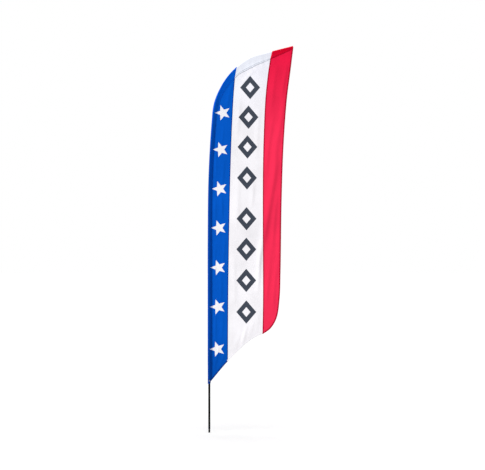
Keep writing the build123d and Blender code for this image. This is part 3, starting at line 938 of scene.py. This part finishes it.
# ---- Hems ------------------------------------------------------------
# The free edges are turned over twice and sewn down, which leaves a narrow thicker rim, lightly
# puckered by its stitches. The fly hem and the blue of the lower hem are a darker cloth than the
# single cloth: painted shade along the edge.
hem_width = 0.014
hem_thickness = 0.0013
pucker_height = 0.0005
long_pucker, short_pucker = 37.0, 190.0
hem_section = [(0.0, 0.0), (0.0005, 0.42), (0.0016, 0.5), (0.0070, 0.5), (0.0128, 0.5),
               (0.0140, 0.30), (0.0140, -0.30), (0.0128, -0.5), (0.0070, -0.5), (0.0016, -0.5),
               (0.0005, -0.42)]
fly_hem_phase, lower_hem_phase = 0.4, 1.9


def hem_puckers(curve, phase):
    """How far the stitches pull the hem out of its plane, point by point."""
    travel = np.arange(len(curve)) * edge_step
    puckers = pucker_height * np.sin(travel * short_pucker + phase)
    return puckers * np.sin(travel * long_pucker + 2 * phase)


def hem_strip(name, curve, materials, material_of_place, phase):
    """Rim of doubled cloth round a free edge."""
    count = len(hem_section)
    rows_of_places = []
    for across, height in hem_section:
        line = pulled_in(curve, across)
        rows_of_places.append(in_space(line, np.full(len(line), height * hem_thickness)))
    places = np.stack(rows_of_places, axis=1)
    places[..., 1] += sway(places[..., 0], places[..., 2])
    places[..., 1] += hem_puckers(curve, phase)[:, None]
    faces, slots = [], []
    for i in range(len(curve) - 1):
        for j in range(count):
            k = (j + 1) % count
            faces.append((i * count + j, (i + 1) * count + j, (i + 1) * count + k, i * count + k))
            slots.append(material_of_place((curve[i] + curve[i + 1]) / 2))
    faces.append(tuple(range(count)))
    faces.append(tuple((len(curve) - 1) * count + j for j in reversed(range(count))))
    slots += [slots[0], slots[-1]]
    return add_mesh(name, places.reshape(-1, 3), faces, materials, slots)


def with_point_at(curve, x):
    """Adds a point to a line where it passes a given x."""
    order = np.argsort(curve[:, 0])
    z = np.interp(x, curve[order, 0], curve[order, 1])
    points = np.vstack([curve, [x, z]])
    return points[np.argsort(-points[:, 0])]


fly_hem_cloth = hem_strip("fly_hem_cloth", fly_curve, [dark_red_cloth], lambda place: 0,
                          fly_hem_phase)
lower_hem_curve = with_point_at(lower_curve, blue_side[0][0])
lower_hem_cloth = hem_strip("lower_hem_cloth", lower_hem_curve, [dark_blue_cloth, white_cloth],
                            lambda place: 0 if place[0] < border(blue_curve, place[1]) else 1,
                            lower_hem_phase)
for piece, node, slot in ((fly_hem_cloth, "fly_hem", "red_cloth"),
                          (lower_hem_cloth, "lower_hem", "blue_cloth")):
    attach(piece, "upper_pole")
    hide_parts(node)


# ---- Cuff and its eyelets --------------------------------------------
# The sleeve ends in a doubled cuff, cut level round the pole and slanting where it runs into the
# lower hem. A nickel eyelet is pressed through its front and its back, for the tie of the flag.
cuff_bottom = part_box("sleeve_cuff")[0][2]
cuff_radius = 0.0162
cuff_reach = 0.0265
cuff_thickness = 0.0012
cuff_edge_height = 0.0008
cuff_flap = 0.004
cuff_fold_steps, cuff_flank_steps, cuff_rows_up = 26, 8, 33
cuff_slant_start, cuff_slant_run, cuff_seam_start = 0.011, 0.0035, 0.0145
eyelet_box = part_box("cuff_eyelets")
eyelet_height = (eyelet_box[0][2] + eyelet_box[1][2]) / 2
eyelet_clear = 0.0034
eyelet_depth = 0.008
hem_slope = 1.30
hem_gap = 0.001


def cuff_section():
    """Offsets and depths round the cuff, from the front flap over the fold to the back flap."""
    half = round_fold(cuff_radius, cuff_reach + cuff_flap, cuff_fold_steps)
    from_offset, from_depth = half[-1]
    for i in range(1, cuff_flank_steps + 1):
        share = i / cuff_flank_steps
        half.append((from_offset + (cuff_reach - from_offset) * share,
                     from_depth + (cuff_edge_height - from_depth) * share))
    front = [(offset, -depth) for offset, depth in reversed(half)]
    return front + half[1:]


def cuff_bottom_at(offset):
    """Height of the cuff's lower edge: level round the pole, and rising along the hem."""
    if offset > cuff_seam_start:
        return flag_foot[1] + (offset - flag_foot[0]) * hem_slope + hem_gap
    share = max(0.0, offset - cuff_slant_start) / cuff_slant_run
    return cuff_bottom + share * share * (flag_foot[1] - cuff_bottom)


cuff_rows = []
for level in np.linspace(0.0, 1.0, cuff_rows_up):
    row = []
    for offset, depth in cuff_section():
        bottom = cuff_bottom_at(offset)
        row.append((offset, depth, bottom + (cuff_top - bottom) * level))
    cuff_rows.append(row)
cuff_places = np.array(cuff_rows)
faces = []
for face in lofted_faces(*cuff_places.shape[:2]):
    middle = cuff_places.reshape(-1, 3)[list(face)].mean(axis=0)
    from_eyelet = math.hypot(middle[0], middle[2] - eyelet_height)
    if from_eyelet > eyelet_clear or abs(middle[1]) < eyelet_depth:
        faces.append(face)
cuff_cloth = add_mesh("cuff_cloth", cuff_places.reshape(-1, 3), faces, [dark_blue_cloth])
thicken(cuff_cloth, cuff_thickness, -1.0)
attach(cuff_cloth, "upper_pole")
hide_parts("sleeve_cuff")


# ---- Thread ----------------------------------------------------------
# Lock stitches in white and matching thread: two rows along the sleeve's seam, one along each hem,
# and two round the cuff, on the front and on the back alike.
def thread_material(name, colour):
    """Twisted polyester thread: fine slanting plies with a soft shine."""
    material = new_material(name, {
        "Base Color": colour, "Roughness": 0.55, "Specular IOR Level": 0.25})
    plies = texture(material, "Wave", {"Scale": 900.0}, bands_direction="DIAGONAL")
    raise_surface(material, plies, "Fac", 0.5, 0.0001)
    return material


blue_thread = thread_material("blue_thread", srgb(10, 60, 140))
white_thread = thread_material("white_thread", srgb(226, 228, 232))
red_thread = thread_material("red_thread", srgb(190, 24, 52))
stitch_pitch = 0.0050
stitch_share = 0.78
thread_radius = 0.00028
stitch_shape = [(0.0, 0.15), (0.18, 1.0), (0.82, 1.0), (1.0, 0.15)]
thread_sides = 4


def stitch_row(line, colour_of_place):
    """Places, faces and material numbers of the stitches along a line of places."""
    steps = np.linalg.norm(np.diff(line, axis=0), axis=1)
    travelled = np.concatenate([[0.0], np.cumsum(steps)])
    count = int(travelled[-1] / stitch_pitch)
    places, faces, slots = [], [], []
    for i in range(count):
        wanted = [i * stitch_pitch + stitch_pitch * stitch_share * share
                  for share, _ in stitch_shape]
        centres = np.stack([np.interp(wanted, travelled, line[:, k]) for k in range(3)], axis=1)
        along = centres[-1] - centres[0]
        along /= np.linalg.norm(along)
        up = np.cross(along, (0.0, 1.0, 0.0))
        up /= np.linalg.norm(up)
        out = np.cross(up, along)
        first = len(places)
        for centre, (_, fullness) in zip(centres, stitch_shape):
            for turn in range(thread_sides):
                angle = turn * 2 * math.pi / thread_sides
                out_of_centre = math.cos(angle) * up + math.sin(angle) * out
                places.append(centre + thread_radius * fullness * out_of_centre)
        for ring in range(len(stitch_shape) - 1):
            start = first + thread_sides * ring
            for turn in range(thread_sides):
                a, b = start + turn, start + (turn + 1) % thread_sides
                faces.append((a, b, b + thread_sides, a + thread_sides))
                slots.append(colour_of_place(centres[0]))
        faces.append(tuple(reversed(range(first, first + thread_sides))))
        faces.append(tuple(range(len(places) - thread_sides, len(places))))
        slots += [slots[-1]] * 2
    return places, faces, slots


def thread_piece(name, lines, colour_of_place):
    """All stitches of one seam as one piece."""
    places, faces, slots = [], [], []
    for line in lines:
        row_places, row_faces, row_slots = stitch_row(line, colour_of_place)
        faces += [tuple(index + len(places) for index in face) for face in row_faces]
        places += row_places
        slots += row_slots
    piece = add_mesh(name, places, faces, [blue_thread, white_thread, red_thread], slots)
    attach(piece, "upper_pole")
    return piece


def print_band(place):
    """Which thread lies on a place of the flag: blue, white or red."""
    if place[0] < border(blue_curve, place[2]):
        return 0
    return 1 if place[0] < border(red_curve, place[2]) else 2


seam_proud = 0.00012
hem_proud = 0.0001
hem_stitch_inset = 0.0030
cuff_stitch_inset = 0.004
cuff_level_end = 0.009
cuff_proud = 1.012
seam_lines = []
for rows_of_sleeve in (sleeve_rows, pocket_rows[:-len(pocket_closing)]):
    for first, second, side in ((0, 1, -1), (2, 3, -1), (-1, -2, 1), (-3, -4, 1)):
        line = rows_of_sleeve[:, first] * 0.5 + rows_of_sleeve[:, second] * 0.5
        line[:, 1] += side * seam_proud
        seam_lines.append(line)
thread_piece("sleeve_seam_thread", seam_lines, print_band)

hem_lines = []
for curve, phase in ((fly_curve, fly_hem_phase), (lower_hem_curve, lower_hem_phase)):
    line = pulled_in(curve, hem_width - hem_stitch_inset)
    middle = sway(line[:, 0], line[:, 1]) + hem_puckers(curve, phase)
    for side in (-1, 1):
        hem_lines.append(in_space(line, side * (hem_thickness / 2 + hem_proud) + middle))
thread_piece("hem_thread", hem_lines, print_band)

cuff_lines = []
for height in (cuff_bottom + cuff_stitch_inset, cuff_top - cuff_stitch_inset):
    ring = np.array([(offset * cuff_proud, depth * cuff_proud, height)
                     for offset, depth in cuff_section()
                     if height > flag_foot[1] or offset < cuff_level_end])
    cuff_lines.append(ring)
thread_piece("cuff_thread", cuff_lines, lambda place: 0)


# ---- Pole ------------------------------------------------------------
# Three wrapped glass-fibre tubes with a black gel coat, and a slim solid rod of the same stuff on
# top. Anodised collars and a ferrule guard the joints, and small rivets hold the plugs.
def finish_node(node, material):
    """Gives a CAD piece a better material."""
    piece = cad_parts[node]
    for slot in piece.material_slots:
        slot.material = material


def colour_by(material, source, colours, positions):
    """Base colour that runs from one colour to another with a texture."""
    tones = add_node(material, "ValToRGB")
    for element, colour, position in zip(tones.color_ramp.elements, colours, positions):
        element.position = position
        element.color = colour
    join(material,
         (source, "Fac", tones, "Fac"),
         (tones, "Color", shader_of(material), "Base Color"))


# black coat over wrapped fibre: faint slanting wraps and fine lengthwise scratches
pole_fibre = new_material("pole_fibre", {"Roughness": 0.55, "Specular IOR Level": 0.02})
fibre_places = add_node(pole_fibre, "TexCoord")
stretch = add_node(pole_fibre, "Mapping", {"Scale": (60.0, 60.0, 2.0)})
scratches = add_node(pole_fibre, "TexNoise", {"Scale": 20.0, "Detail": 4.0})
wraps = texture(pole_fibre, "Wave", {"Scale": 24.0, "Distortion": 1.0}, bands_direction="DIAGONAL")
heights = add_node(pole_fibre, "Math", {1: 0.3}, operation="MULTIPLY_ADD")
join(pole_fibre,
     (fibre_places, "Object", stretch, "Vector"),
     (stretch, "Vector", scratches, "Vector"),
     (wraps, "Fac", heights, 0),
     (scratches, "Fac", heights, 2))
colour_by(pole_fibre, scratches, (srgb(5, 5, 6), srgb(9, 9, 10)), (0.0, 1.0))
raise_surface(pole_fibre, heights, "Value", 0.25, 0.0002)
for node in ("section_1_tube", "section_2_tube", "section_3_tube", "whip_rod"):
    finish_node(node, pole_fibre)


def worn_metal(name, colour, rubbed_colour, roughness):
    """Turned metal with fine tool marks and a thin surface that is a little rubbed."""
    material = new_material(name, {"Metallic": 1.0, "Roughness": roughness})
    turning = texture(material, "Wave", {"Scale": 500.0, "Distortion": 2.0, "Detail": 2.0},
                      bands_direction="Z")
    rubbing = texture(material, "Noise", {"Scale": 160.0, "Detail": 6.0})
    colour_by(material, rubbing, (colour, rubbed_colour), (0.55, 0.78))
    raise_surface(material, turning, "Fac", 0.2, 0.0001)
    return material


black_anodised = worn_metal("black_anodised", srgb(30, 31, 34), srgb(58, 59, 62), 0.38)
bare_aluminium = worn_metal("bare_aluminium", srgb(190, 192, 196), srgb(214, 215, 218), 0.32)
for node in ("section_1_collar", "section_2_collar", "whip_ferrule", "bearing_housing",
             "housing_rivets", "section_2_rivets", "section_3_rivets"):
    finish_node(node, black_anodised)
for node in ("section_2_spigot", "section_3_spigot", "inner_spacer"):
    finish_node(node, bare_aluminium)
finish_node("cuff_eyelets", worn_metal("nickel", srgb(206, 205, 198), srgb(188, 184, 172), 0.22))


# ---- Foot and rotator ------------------------------------------------
# A black-oxide steel foot that screws onto a base, with the spindle turned in one piece with it.
# Hidden in the tube are two ball bearings, a spacer, a washer and a lock nut.
black_oxide = worn_metal("black_oxide_steel", srgb(28, 29, 31), srgb(74, 74, 76), 0.45)
bearing_steel = worn_metal("bearing_steel", srgb(196, 198, 202), srgb(210, 211, 214), 0.15)
zinc_steel = worn_metal("zinc_steel", srgb(170, 172, 176), srgb(196, 194, 184), 0.34)
finish_node("foot_spindle", black_oxide)
for node in ("bearing_inner_rings", "bearing_outer_rings", "bearing_balls"):
    finish_node(node, bearing_steel)
for node in ("bearing_cages", "spindle_washer", "spindle_nut"):
    finish_node(node, zinc_steel)

# matt rubber with a fine grain
black_rubber = new_material("black_rubber", {
    "Base Color": srgb(24, 24, 25), "Roughness": 0.8, "Specular IOR Level": 0.25})
grain = texture(black_rubber, "Noise", {"Scale": 900.0, "Detail": 3.0})
raise_surface(black_rubber, grain, "Fac", 0.3, 0.0002)
for node in ("dust_washer", "whip_tip_cap"):
    finish_node(node, black_rubber)
